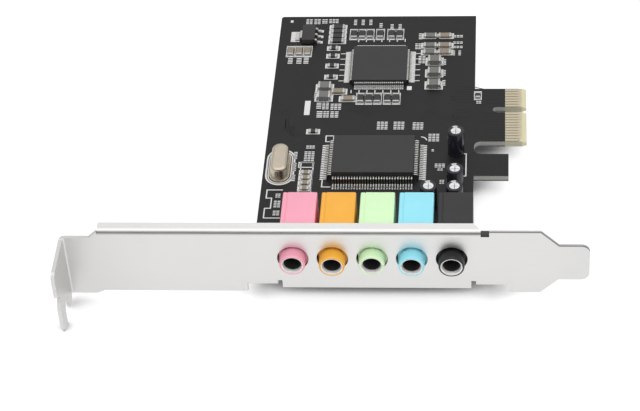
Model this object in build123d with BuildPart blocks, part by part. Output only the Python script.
from build123d import *
import os

# Sound card for a PCI Express x1 slot, lying component side up.
# X runs along the bracket from the screw tab to the tongue, Y from the bracket to the far end of the board,
# Z up. The origin is at the middle of the card's box, on the level of the tab's lowest prong.

# Bracket: one sheet of steel, folded four times
bracket_length = 120.02
sheet = 0.86
bend_radius = 0.4
face_width = 18.42
tongue_width = 10.19
tongue_length = 6.9
tongue_corner = 2.0
tab_depth = 12.7
tab_corner = 1.6
end_length = 6.8
end_top_step = 2.0
end_low_step = 0.9
tab_drop = 2.6
back_prong_drop = 1.8
front_prong_depth = 11.8
prong_tip = 1.3
front_cut_top = 9.9
front_cut_height = 4.5
front_cut_depth = 2.6
notch_width = 4.42
notch_from_face = 5.7
notch_height = 3.0
flange_length = 86.8
flange_depth = 3.15
flange_end_slant = 1.6
flange_relief = 1.9
ear_width = 7.0
ear_length = 9.0
ear_corner = 1.5
relief = 1.1
middle_rise = 1.2
nose_hole = 7.2

# Board: outline, and the heights that place it on the bracket's ears
board_thickness = 1.57
board_under = 2.5
board_gap = 1.6
card_reach = 98.2
tab_to_board = 42.76
board_width = 50.8
left_screw_inset = 2.87
board_corner = 0.5
lobe_reach = 8.9
lobe_depth = 12.5
hook_reach = 8.35
hook_width = 8.1
hook_slot = 4.55
hook_slot_corner = 1.6
finger_reach = 12.75

# Edge connector: key notch and contact pads
key_from_face = 60.1
key_width = 1.9
key_depth = 8.3
contact_pitch = 1.0
near_contact_count = 11
far_contact_count = 7
key_to_contact = 1.5
contact_to_edge = 0.65
contact_width = 0.7
contact_length = 4.1
contact_thickness = 0.05
short_contact = 1.0
bevel_length = 1.1
bevel_depth = 0.4

# Sockets: moulded housing, bush and contact springs
jack_colours = ["pink", "orange", "green", "blue", "black"]
jack_pitch = 9.0
jack_width = 8.2
jack_block_shift = 0.75
black_jack_overhang = 0.35
jack_height = 10.8
jack_length = 16.3
jack_axis_height = 6.25
jack_seat = 0.1
jack_edge = 0.25
nose_radius = 2.95
nose_proud = 2.75
bush_radius = 2.5
bush_bore_radius = 1.8
jack_front_wall = 3.2
jack_back_wall = 1.2
cavity_width = 5.6
cavity_height = 8.7
rebate_width = 0.8
rebate_depth = 0.35
spring_thickness = 0.3
spring_width = 1.3
spring_inset = 0.9
spring_spacing = 4.3
spring_arm = 1.9
spring_lift = 1.0
tip_arm = 3.2
tip_dip = 0.7

# Legs and leads through the board
lead_width = 0.44
leg_drop = 1.2
leg_clearance = 0.2

# Screws through the board into the ears
screw_radius = 1.4
screw_clearance = 0.15
screw_head_radius = 2.4
screw_sides = 12
screw_head_height = 1.6
screw_from_face = 5.5
screw_below_ear = 0.9

# Flat chips: body, draft and gull-wing leads
chip_draft = 8
knee_share = 0.6
audio_length = 20.0
audio_width = 14.0
audio_thickness = 2.7
audio_standoff = 0.25
audio_long_count = 30
audio_short_count = 20
audio_lead_pitch = 0.65
audio_lead_width = 0.3
audio_lead_thickness = 0.16
audio_lead_reach = 1.95
audio_foot = 0.8
audio_from_face = 40.2
audio_right_gap = 14.15
bridge_size = 14.0
bridge_thickness = 1.4
bridge_standoff = 0.1
bridge_side_count = 25
bridge_lead_pitch = 0.5
bridge_lead_width = 0.22
bridge_lead_thickness = 0.13
bridge_lead_reach = 1.0
bridge_foot = 0.45
bridge_from_far_edge = 21.2

# Crystal: drawn can on its header
crystal_length = 10.3
crystal_width = 4.1
crystal_height = 3.5
header_rim = 0.4
header_thickness = 0.45
crystal_lead_pitch = 4.88
crystal_from_left_edge = 4.1
crystal_behind_audio = 1.7

# Regulator: moulded body with a heat tab and three leads
regulator_length = 6.5
regulator_width = 3.5
regulator_height = 1.5
regulator_standoff = 0.1
regulator_tab_width = 3.0
regulator_tab_reach = 1.75
regulator_lead_width = 0.7
regulator_lead_pitch = 2.3
regulator_lead_thickness = 0.28
regulator_lead_reach = 1.4
regulator_foot = 0.9
regulator_from_far_edge = 8.6
regulator_from_left_edge = 7.65

# Electrolytic capacitors: can and leads
capacitor_radius = 2.0
capacitor_height = 7.0
capacitor_lead_pitch = 1.5
capacitor_from_right_edge = 4.3
capacitor_row_start = 24.2
capacitor_row_pitch = 6.1
capacitor_side_pitch = 6.1
far_capacitor_from_face = 44.0

# Chip parts: length, width and height of each kind, and their plated ends
small_chip = (2.0, 1.25, 0.5)
large_chip = (3.2, 1.6, 0.6)
tall_chip = (3.2, 2.5, 1.3)
chip_end = 0.4

# Chip parts: where their rows and columns lie, from the middle of the piece that each group serves
regulator_column = 7.45
regulator_rows = (3.8, 1.9, 0.0, -1.9)
under_regulator = -6.1
under_regulator_columns = (-4.3, -2.1, 0.1)
left_column = -12.3
left_column_rows = (7.7, 4.5, 0.5, -4.0)
top_row = 13.5
top_row_columns = (-7.3, -5.2, -3.2, -0.5, 2.4, 4.5)
low_row = -12.6
low_row_columns = (-4.4, -2.3, -0.2, 2.4, 4.5)
low_corner_spots = ((-10.15, -9.8), (-7.5, -12.7))
tall_left_column = -13.6
tall_left_rows = (-8.4, -12.1)
right_column = 12.5
right_rows = (12.7, 8.7, 5.9)
brown_column = 16.2
tall_right_column = 13.8
tall_right_rows = (2.2, -2.6, -7.4)
audio_column = -16.2
audio_column_rows = (-3.8, -5.7, -7.6, -9.5)
audio_corner = (-15.45, 11.5)
key_part_inset = 0.75
key_part_step = 5.4

# Frame: where each group lies
fold = bend_radius + sheet
tab_x = -bracket_length / 2
tip_x = bracket_length / 2
face_y = (tab_depth - card_reach) / 2
back_y = face_y + sheet
far_y = face_y + card_reach
face_low = tab_drop
face_top = face_low + face_width
board_low = face_low + board_under
board_top = board_low + board_thickness
ear_low = board_low - sheet
near_y = face_y + board_gap
board_left = tab_x + tab_to_board
board_right = board_left + board_width
jack_last_x = board_right + black_jack_overhang - jack_width / 2 - jack_block_shift
jack_xs = [jack_last_x - i * jack_pitch for i in reversed(range(len(jack_colours)))]
jack_z = board_top + jack_axis_height
jack_front = back_y + jack_seat
jack_back = jack_front + jack_length
nose_y = face_y - nose_proud
cavity_near = jack_front + jack_front_wall
cavity_far = jack_back - jack_back_wall
screw_y = face_y + screw_from_face
left_screw_x = board_left + left_screw_inset
right_screw_x = board_right + lobe_reach / 2
screw_xs = [left_screw_x, right_screw_x]
key_y = face_y + key_from_face
tongue_near = key_y - key_to_contact - (near_contact_count - 1) * contact_pitch - contact_to_edge
tongue_far = key_y + key_to_contact + (far_contact_count - 1) * contact_pitch + contact_to_edge
finger_x = board_right + finger_reach
audio_x = board_right - audio_right_gap - audio_length / 2
audio_y = face_y + audio_from_face
bridge_x = audio_x
bridge_y = far_y - bridge_from_far_edge
crystal_x = board_left + crystal_from_left_edge
crystal_y = audio_y - crystal_behind_audio
regulator_x = board_left + regulator_from_left_edge
regulator_y = far_y - regulator_from_far_edge
capacitor_x = board_right - capacitor_from_right_edge
capacitor_spots = [
    (capacitor_x, face_y + far_capacitor_from_face),
    (capacitor_x, face_y + capacitor_row_start + capacitor_row_pitch),
    (capacitor_x, face_y + capacitor_row_start),
    (capacitor_x - capacitor_side_pitch, face_y + capacitor_row_start),
]

# Legs of each socket, as distances along Y: front, middle and back spring
front_leg = cavity_near + spring_inset
middle_leg = front_leg + spring_spacing
back_leg = cavity_far - spring_inset
spring_legs = [front_leg, middle_leg, back_leg]

os.makedirs("parts", exist_ok=True)


def keep(piece, name):
    """Label a finished piece and write it as its own file."""
    piece.part.label = name
    export_step(piece.part, f"parts/{name}.step")


# Bracket
# The face stops a fold short of each bent edge, and the folds are arcs of the sheet's own thickness.
shoulder_x = tip_x - tongue_length
shoulder = (face_width - tongue_width) / 2
end_x = tab_x + end_length
step_x = end_x + end_top_step
flange_right = step_x + flange_length
ear_spans = [(x - ear_width / 2, x + ear_width / 2) for x in screw_xs]
ear_rise = ear_low + fold - face_low
with BuildPart() as bracket:
    with BuildSketch(Plane.XZ.offset(-back_y)) as face_outline:
        with BuildLine():
            Polyline(
                (tab_x + fold, face_low - end_low_step),
                (end_x, face_low - end_low_step),
                (step_x, face_low),
                (ear_spans[0][1], face_low),
                (ear_spans[0][1], face_low + middle_rise),
                (ear_spans[1][0], face_low + middle_rise),
                (ear_spans[1][0], face_low),
                (shoulder_x - shoulder, face_low),
                (shoulder_x, face_low + shoulder),
                (tip_x, face_low + shoulder),
                (tip_x, face_top - shoulder),
                (shoulder_x, face_top - shoulder),
                (shoulder_x - shoulder, face_top),
                (flange_right, face_top),
                (flange_right, face_top - fold),
                (step_x, face_top - fold),
                (step_x, face_top),
                (end_x, face_top - end_top_step),
                (tab_x + fold, face_top - end_top_step),
                close=True,
            )
        make_face()
        fillet(face_outline.vertices().sort_by(Axis.X)[-2:], radius=tongue_corner)
        with Locations((flange_right + flange_relief / 2, face_top - fold / 2)):
            Rectangle(flange_relief, fold, mode=Mode.SUBTRACT)
        for ear_left, ear_right in ear_spans:
            with Locations(((ear_left + ear_right) / 2, face_low)):
                Rectangle(ear_width, 2 * ear_rise, mode=Mode.SUBTRACT)
            for cut_x in (ear_left - relief / 2, ear_right + relief / 2):
                with Locations((cut_x, face_low)):
                    Rectangle(relief, 2 * ear_rise + relief, mode=Mode.SUBTRACT)
        for jack_x in jack_xs:
            with Locations((jack_x, jack_z)):
                Circle(nose_hole / 2, mode=Mode.SUBTRACT)
    extrude(amount=sheet)

    # Stiffening flange, folded back along the upper edge
    with BuildSketch(Plane.YZ.offset(step_x)) as flange_section:
        with BuildLine():
            Line((face_y, face_top - fold), (back_y, face_top - fold))
            RadiusArc((back_y, face_top - fold), (face_y + fold, face_top - sheet), bend_radius)
            Polyline(
                (face_y + fold, face_top - sheet),
                (face_y + flange_depth, face_top - sheet),
                (face_y + flange_depth, face_top),
                (face_y + fold, face_top),
            )
            RadiusArc((face_y + fold, face_top), (face_y, face_top - fold), -fold)
        make_face()
    extrude(amount=flange_length)
    with BuildSketch(Plane.XY.offset(face_top)):
        with BuildLine():
            Polyline(
                (flange_right, face_y + sheet),
                (flange_right, face_y + flange_depth),
                (flange_right - flange_end_slant, face_y + flange_depth),
                close=True,
            )
        make_face()
    extrude(amount=-fold, mode=Mode.SUBTRACT)

    # Fixing ears, folded back under the board
    for ear_left, ear_right in ear_spans:
        with BuildSketch(Plane.YZ.offset(ear_left)):
            with BuildLine():
                Line((back_y, ear_low + fold), (face_y, ear_low + fold))
                RadiusArc((face_y, ear_low + fold), (face_y + fold, ear_low), -fold)
                Polyline(
                    (face_y + fold, ear_low),
                    (face_y + ear_length, ear_low),
                    (face_y + ear_length, ear_low + sheet),
                    (face_y + fold, ear_low + sheet),
                )
                RadiusArc((face_y + fold, ear_low + sheet), (back_y, ear_low + fold), bend_radius)
            make_face()
        extrude(amount=ear_width)
    ear_ends = bracket.edges().filter_by(Axis.Z).filter_by_position(
        Axis.Y, face_y + ear_length - sheet / 2, face_y + ear_length + sheet / 2
    )
    chamfer(ear_ends, length=ear_corner)
    with BuildSketch(Plane.XY.offset(ear_low)):
        with Locations(*[(x, screw_y) for x in screw_xs]):
            Circle(screw_radius + screw_clearance)
    extrude(amount=sheet, mode=Mode.SUBTRACT)

    # Screw tab, folded forward at the end of the face
    with BuildSketch(Plane.XY.offset(face_low - end_low_step)):
        with BuildLine():
            Line((tab_x + fold, face_y), (tab_x + fold, back_y))
            RadiusArc((tab_x + fold, back_y), (tab_x, back_y - fold), -fold)
            Line((tab_x, back_y - fold), (tab_x + sheet, back_y - fold))
            RadiusArc((tab_x + sheet, back_y - fold), (tab_x + fold, face_y), bend_radius)
        make_face()
    extrude(amount=face_width - end_top_step + end_low_step)
    with BuildSketch(Plane.YZ.offset(tab_x)) as tab_outline:
        with BuildLine():
            Polyline(
                (back_y - fold, face_top - end_top_step),
                (face_y - tab_depth, face_top - end_top_step),
                (face_y - tab_depth, face_low + front_cut_top),
                (face_y - tab_depth + front_cut_depth, face_low + front_cut_top - front_cut_height / 2),
                (face_y - front_prong_depth, face_low + front_cut_top - front_cut_height),
                (face_y - front_prong_depth, face_low),
                (face_y - front_prong_depth + prong_tip, face_low - tab_drop),
                (face_y - notch_from_face, face_low - tab_drop),
                (face_y - notch_from_face, face_low - back_prong_drop),
                (back_y - fold - bend_radius, face_low - back_prong_drop),
                (back_y - fold, face_low - end_low_step),
                close=True,
            )
        make_face()
        top_corner = tab_outline.vertices().group_by(Axis.Y)[-1].sort_by(Axis.X)[0]
        fillet(top_corner, radius=tab_corner)
        with Locations((face_y - notch_from_face, face_low - tab_drop)):
            SlotOverall(2 * (notch_height + tab_drop), notch_width, rotation=90, mode=Mode.SUBTRACT)
    extrude(amount=sheet)
keep(bracket, "bracket")

# Board
# One outline with the lobe at the lower ear, the hook, the slot beside it and the connector tongue.
hook_far = tongue_near - hook_slot
hook_near = hook_far - hook_width
lobe_y = face_y + lobe_depth
leg_slot_width = spring_width + 2 * leg_clearance
leg_slot_depth = spring_thickness + 2 * leg_clearance
lead_hole = lead_width + 2 * leg_clearance
with BuildPart() as board:
    with BuildSketch(Plane.XY.offset(board_low)) as board_outline:
        with BuildLine():
            Polyline(
                (board_left, near_y),
                (board_right + lobe_reach, near_y),
                (board_right + lobe_reach, lobe_y),
                (board_right, lobe_y),
                (board_right, hook_near),
                (board_right + hook_reach, hook_near),
                (board_right + hook_reach, hook_far),
                (board_right, hook_far),
                (board_right, tongue_near),
                (finger_x, tongue_near),
                (finger_x, tongue_far),
                (board_right, tongue_far),
                (board_right, far_y),
                (board_left, far_y),
                close=True,
            )
        make_face()
        slot_corners = board_outline.vertices().filter_by_position(
            Axis.Y, hook_far - relief, tongue_near + relief
        ).filter_by_position(Axis.X, board_right - relief, board_right + relief)
        fillet(slot_corners, radius=hook_slot_corner)
        outer_corners = board_outline.vertices().sort_by(Axis.X)[:2]
        chamfer(outer_corners, length=board_corner)
        with Locations((finger_x, key_y)):
            SlotOverall(2 * key_depth, key_width, mode=Mode.SUBTRACT)
        with Locations(*[(x, screw_y) for x in screw_xs]):
            Circle(screw_radius + screw_clearance, mode=Mode.SUBTRACT)
        with Locations(*[(x, y) for x in jack_xs for y in spring_legs]):
            Rectangle(leg_slot_width, leg_slot_depth, mode=Mode.SUBTRACT)
        with Locations(*[(x + s * capacitor_lead_pitch / 2, y) for x, y in capacitor_spots for s in (-1, 1)]):
            Rectangle(lead_hole, lead_hole, mode=Mode.SUBTRACT)
        with Locations(*[(crystal_x, crystal_y + s * crystal_lead_pitch / 2) for s in (-1, 1)]):
            Rectangle(lead_hole, lead_hole, mode=Mode.SUBTRACT)
    extrude(amount=board_thickness)
    with BuildSketch(Plane.XZ.offset(-tongue_near)):
        for level, inward in ((board_top, -1), (board_low, 1)):
            with BuildLine():
                Polyline(
                    (finger_x - bevel_length, level),
                    (finger_x, level + inward * bevel_depth),
                    (finger_x, level),
                    close=True,
                )
            make_face()
    extrude(amount=tongue_near - tongue_far, mode=Mode.SUBTRACT)
keep(board, "board")

# Edge contacts
# Gold pads above and below the tongue. The first on top and the last but one below are short.
near_rows = [key_y - key_to_contact - i * contact_pitch for i in range(near_contact_count)]
far_rows = [key_y + key_to_contact + i * contact_pitch for i in range(far_contact_count)]
pad_tip = finger_x - bevel_length
contact_rows = near_rows + far_rows
with BuildPart() as edge_contacts:
    for level, short_row in ((board_top, near_rows[-1]), (board_low - contact_thickness, far_rows[-2])):
        with BuildSketch(Plane.XY.offset(level)):
            with Locations(*[(pad_tip - contact_length / 2, y) for y in contact_rows if y != short_row]):
                Rectangle(contact_length, contact_width)
            with Locations((pad_tip - (contact_length + short_contact) / 2, short_row)):
                Rectangle(contact_length - short_contact, contact_width)
        extrude(amount=contact_thickness)
keep(edge_contacts, "edge_contacts")

# Screws
# Plain heads on the board, with shanks through it into the ears.
with BuildPart() as bracket_screws:
    with BuildSketch(Plane.XY.offset(board_top)):
        with Locations(*[(x, screw_y) for x in screw_xs]):
            RegularPolygon(screw_head_radius, screw_sides)
    extrude(amount=screw_head_height)
    with BuildSketch(Plane.XY.offset(board_top)):
        with Locations(*[(x, screw_y) for x in screw_xs]):
            RegularPolygon(screw_radius, screw_sides)
    extrude(amount=ear_low - screw_below_ear - board_top)
keep(bracket_screws, "bracket_screws")

# Sockets
# One housing, bush and set of springs is made on the middle plane, and each colour gets a copy in its place.
# The housing is a block open below, a little to one side of the plug's axis, with a round nose through the
# bracket. The bush lines the nose.
jack_axis = Axis((0, 0, jack_z), (0, 1, 0))
jack_top = board_top + jack_height
with BuildPart() as housing:
    with BuildSketch(Plane.XY.offset(board_top)):
        with Locations((jack_block_shift, jack_front + jack_length / 2)):
            Rectangle(jack_width, jack_length)
    extrude(amount=jack_height)
    chamfer(housing.edges().group_by(Axis.Z)[-1], length=jack_edge)
    with BuildSketch(Plane.XZ.offset(-jack_back)):
        with Locations((jack_block_shift - (jack_width - rebate_width) / 2, jack_top - rebate_depth / 2)):
            Rectangle(rebate_width, rebate_depth)
    extrude(amount=jack_length, mode=Mode.SUBTRACT)
    with BuildSketch(Plane.XY.offset(board_top)):
        with Locations((0, (cavity_near + cavity_far) / 2)):
            Rectangle(cavity_width, cavity_far - cavity_near)
    extrude(amount=cavity_height, mode=Mode.SUBTRACT)
    with BuildSketch(Plane.YZ):
        with BuildLine():
            Polyline(
                (jack_front, jack_z),
                (jack_front, jack_z + nose_radius),
                (nose_y, jack_z + nose_radius),
                (nose_y, jack_z),
                close=True,
            )
        make_face()
    revolve(axis=jack_axis)
    with BuildSketch(Plane.YZ):
        with BuildLine():
            Polyline(
                (nose_y, jack_z),
                (nose_y, jack_z + bush_radius),
                (cavity_near, jack_z + bush_radius),
                (cavity_near, jack_z),
                close=True,
            )
        make_face()
    revolve(axis=jack_axis, mode=Mode.SUBTRACT)

with BuildPart() as bush:
    with BuildSketch(Plane.YZ):
        with BuildLine():
            Polyline(
                (nose_y, jack_z + bush_bore_radius),
                (cavity_near, jack_z + bush_bore_radius),
                (cavity_near, jack_z + bush_radius),
                (nose_y, jack_z + bush_radius),
                close=True,
            )
        make_face()
    revolve(axis=jack_axis)

# Front, middle and back springs: a leg through the board, and an arm bent towards the plug
leg_foot = board_low - leg_drop
bore_low = jack_z - bush_bore_radius
bore_high = jack_z + bush_bore_radius
spring_paths = [
    [(front_leg, leg_foot), (front_leg, bore_low - spring_lift), (front_leg + spring_arm, bore_low)],
    [(middle_leg, leg_foot), (middle_leg, bore_low - spring_lift), (middle_leg + spring_arm, bore_low)],
    [(back_leg, leg_foot), (back_leg, bore_high), (back_leg - tip_arm, bore_high - tip_dip)],
]
with BuildPart() as springs:
    for spring_path in spring_paths:
        with BuildSketch(Plane.YZ):
            with BuildLine():
                Polyline(*spring_path)
            trace(line_width=spring_thickness)
        extrude(amount=spring_width / 2, both=True)

for colour, jack_x in zip(jack_colours, jack_xs):
    for shape, piece_name in ((housing, "housing"), (bush, "bush"), (springs, "springs")):
        with BuildPart() as jack_piece:
            with Locations((jack_x, 0, 0)):
                add(shape.part)
        keep(jack_piece, f"{colour}_jack_{piece_name}")


# Flat chips
def gull_wing(mid_z, width, thickness, reach, foot):
    """One lead pointing along +X: down from the body's parting line, then flat on the board."""
    knee = knee_share * thickness
    with BuildPart() as lead:
        with BuildSketch(Plane.XZ):
            with BuildLine():
                Polyline(
                    (0, mid_z + thickness / 2),
                    (reach - foot, board_top + thickness),
                    (reach, board_top + thickness),
                    (reach, board_top),
                    (reach - foot - knee, board_top),
                    (0, mid_z - thickness / 2),
                    close=True,
                )
            make_face()
        extrude(amount=width / 2, both=True)
    return lead.part


def lead_places(centre_x, centre_y, length, width, along_x, along_y, pitch):
    """Root of each lead: a row on every side of the body, turned to point outwards."""
    places = []
    for turn, count, out, across in ((0, along_y, length, 0), (90, along_x, width, 1),
                                     (180, along_y, length, 0), (270, along_x, width, 1)):
        sign = 1 if turn < 180 else -1
        for i in range(count):
            step = (i - (count - 1) / 2) * pitch
            x, y = (step, sign * out / 2) if across else (sign * out / 2, step)
            places.append(Location((centre_x + x, centre_y + y, 0), (0, 0, turn)))
    return places


audio_mid = board_top + audio_standoff + audio_thickness / 2
with BuildPart() as audio_chip_body:
    with BuildSketch(Plane.XY.offset(audio_mid)):
        with Locations((audio_x, audio_y)):
            Rectangle(audio_length, audio_width)
    extrude(amount=audio_thickness / 2, both=True, taper=chip_draft)
keep(audio_chip_body, "audio_chip_body")

audio_lead = gull_wing(audio_mid, audio_lead_width, audio_lead_thickness,
                       audio_lead_reach, audio_foot)
with BuildPart() as audio_chip_leads:
    with Locations(*lead_places(audio_x, audio_y, audio_length, audio_width,
                                audio_long_count, audio_short_count, audio_lead_pitch)):
        add(audio_lead)
keep(audio_chip_leads, "audio_chip_leads")

bridge_mid = board_top + bridge_standoff + bridge_thickness / 2
with BuildPart() as bridge_chip_body:
    with BuildSketch(Plane.XY.offset(bridge_mid)):
        with Locations((bridge_x, bridge_y)):
            Rectangle(bridge_size, bridge_size)
    extrude(amount=bridge_thickness / 2, both=True, taper=chip_draft)
keep(bridge_chip_body, "bridge_chip_body")

bridge_lead = gull_wing(bridge_mid, bridge_lead_width, bridge_lead_thickness,
                        bridge_lead_reach, bridge_foot)
with BuildPart() as bridge_chip_leads:
    with Locations(*lead_places(bridge_x, bridge_y, bridge_size, bridge_size,
                                bridge_side_count, bridge_side_count, bridge_lead_pitch)):
        add(bridge_lead)
keep(bridge_chip_leads, "bridge_chip_leads")

# Crystal
# A drawn can, welded to a header plate, on two leads.
header_top = board_top + header_thickness
with BuildPart() as crystal_header:
    with BuildSketch(Plane.XY.offset(board_top)):
        with Locations((crystal_x, crystal_y)):
            SlotOverall(crystal_length + 2 * header_rim, crystal_width + 2 * header_rim, rotation=90)
    extrude(amount=header_thickness)
keep(crystal_header, "crystal_header")

with BuildPart() as crystal_can:
    with BuildSketch(Plane.XY.offset(header_top)):
        with Locations((crystal_x, crystal_y)):
            SlotOverall(crystal_length, crystal_width, rotation=90)
    extrude(amount=crystal_height - header_thickness)
keep(crystal_can, "crystal_can")

with BuildPart() as crystal_leads:
    with BuildSketch(Plane.XY.offset(board_top)):
        with Locations(*[(crystal_x, crystal_y + s * crystal_lead_pitch / 2) for s in (-1, 1)]):
            Rectangle(lead_width, lead_width)
    extrude(amount=-board_thickness - leg_drop)
keep(crystal_leads, "crystal_leads")

# Regulator
# A drafted block with its heat tab on the left and three leads on the right.
regulator_mid = board_top + regulator_standoff + regulator_height / 2
with BuildPart() as regulator_body:
    with BuildSketch(Plane.XY.offset(regulator_mid)):
        with Locations((regulator_x, regulator_y)):
            Rectangle(regulator_width, regulator_length)
    extrude(amount=regulator_height / 2, both=True, taper=chip_draft)
keep(regulator_body, "regulator_body")

regulator_side = regulator_x + regulator_width / 2
with BuildPart() as regulator_leads:
    for row in (-1, 0, 1):
        with Locations(Location((regulator_side, regulator_y + row * regulator_lead_pitch, 0))):
            add(gull_wing(regulator_mid, regulator_lead_width, regulator_lead_thickness,
                          regulator_lead_reach, regulator_foot))
keep(regulator_leads, "regulator_leads")

with BuildPart() as regulator_tab:
    with Locations(Location((regulator_x - regulator_width / 2, regulator_y, 0), (0, 0, 180))):
        add(gull_wing(regulator_mid, regulator_tab_width, regulator_lead_thickness,
                      regulator_tab_reach, regulator_foot))
keep(regulator_tab, "regulator_tab")

# Electrolytic capacitors
# Small aluminium cans, sleeved in film, each on two leads.
for number, capacitor_spot in enumerate(capacitor_spots, start=1):
    with BuildPart() as capacitor_can:
        with BuildSketch(Plane.XY.offset(board_top)):
            with Locations(capacitor_spot):
                Circle(capacitor_radius)
        extrude(amount=capacitor_height)
    keep(capacitor_can, f"capacitor_{number}_can")

with BuildPart() as capacitor_leads:
    with BuildSketch(Plane.XY.offset(board_top)):
        with Locations(*[(x + s * capacitor_lead_pitch / 2, y) for x, y in capacitor_spots for s in (-1, 1)]):
            Rectangle(lead_width, lead_width)
    extrude(amount=-board_thickness - leg_drop)
keep(capacitor_leads, "capacitor_leads")

# Chip parts
# Rows and columns of small blocks, each with a plated end on both sides. A turned part lies along Y.


def beside(centre, columns, rows):
    """Every crossing of the columns and rows, as places measured from a middle point."""
    return [(centre[0] + x, centre[1] + y) for x in columns for y in rows]


regulator_spot = (regulator_x, regulator_y)
bridge_spot = (bridge_x, bridge_y)
audio_spot = (audio_x, audio_y)
chip_groups = {
    "chip_resistor": [
        (beside(regulator_spot, (regulator_column,), regulator_rows), large_chip, 0),
        (beside(bridge_spot, (left_column,), left_column_rows), small_chip, 0),
        (beside(bridge_spot, top_row_columns, (top_row,)), large_chip, 90),
        (beside(bridge_spot, low_row_columns, (low_row,)), large_chip, 90),
        (beside(audio_spot, audio_corner[:1], audio_corner[1:]), small_chip, 0),
        ([(board_right + key_part_inset, key_y + key_part_step)], small_chip, 90),
    ],
    "chip_capacitor": [
        (beside(regulator_spot, under_regulator_columns, (under_regulator,)), large_chip, 90),
        (beside(bridge_spot, (brown_column,), right_rows), large_chip, 0),
        (beside(audio_spot, (audio_column,), audio_column_rows), small_chip, 0),
        ([(bridge_x + x, bridge_y + y) for x, y in low_corner_spots], large_chip, 0),
    ],
    "chip_inductor": [
        (beside(bridge_spot, (right_column,), right_rows), large_chip, 0),
        (beside(bridge_spot, (tall_right_column,), tall_right_rows), tall_chip, 0),
        (beside(bridge_spot, (tall_left_column,), tall_left_rows), tall_chip, 0),
    ],
}
for kind, groups in chip_groups.items():
    with BuildPart() as chip_bodies:
        for spots, (length, width, height), turn in groups:
            with BuildSketch(Plane.XY.offset(board_top)):
                with Locations(*spots):
                    Rectangle(length - 2 * chip_end, width, rotation=turn)
            extrude(amount=height)
    keep(chip_bodies, f"{kind}_bodies")
    with BuildPart() as chip_ends:
        for spots, (length, width, height), turn in groups:
            offset_x, offset_y = ((length - chip_end) / 2, 0) if turn == 0 else (0, (length - chip_end) / 2)
            end_spots = [(x + s * offset_x, y + s * offset_y) for x, y in spots for s in (-1, 1)]
            with BuildSketch(Plane.XY.offset(board_top)):
                with Locations(*end_spots):
                    Rectangle(chip_end, width, rotation=turn)
            extrude(amount=height)
    keep(chip_ends, f"{kind}_ends")
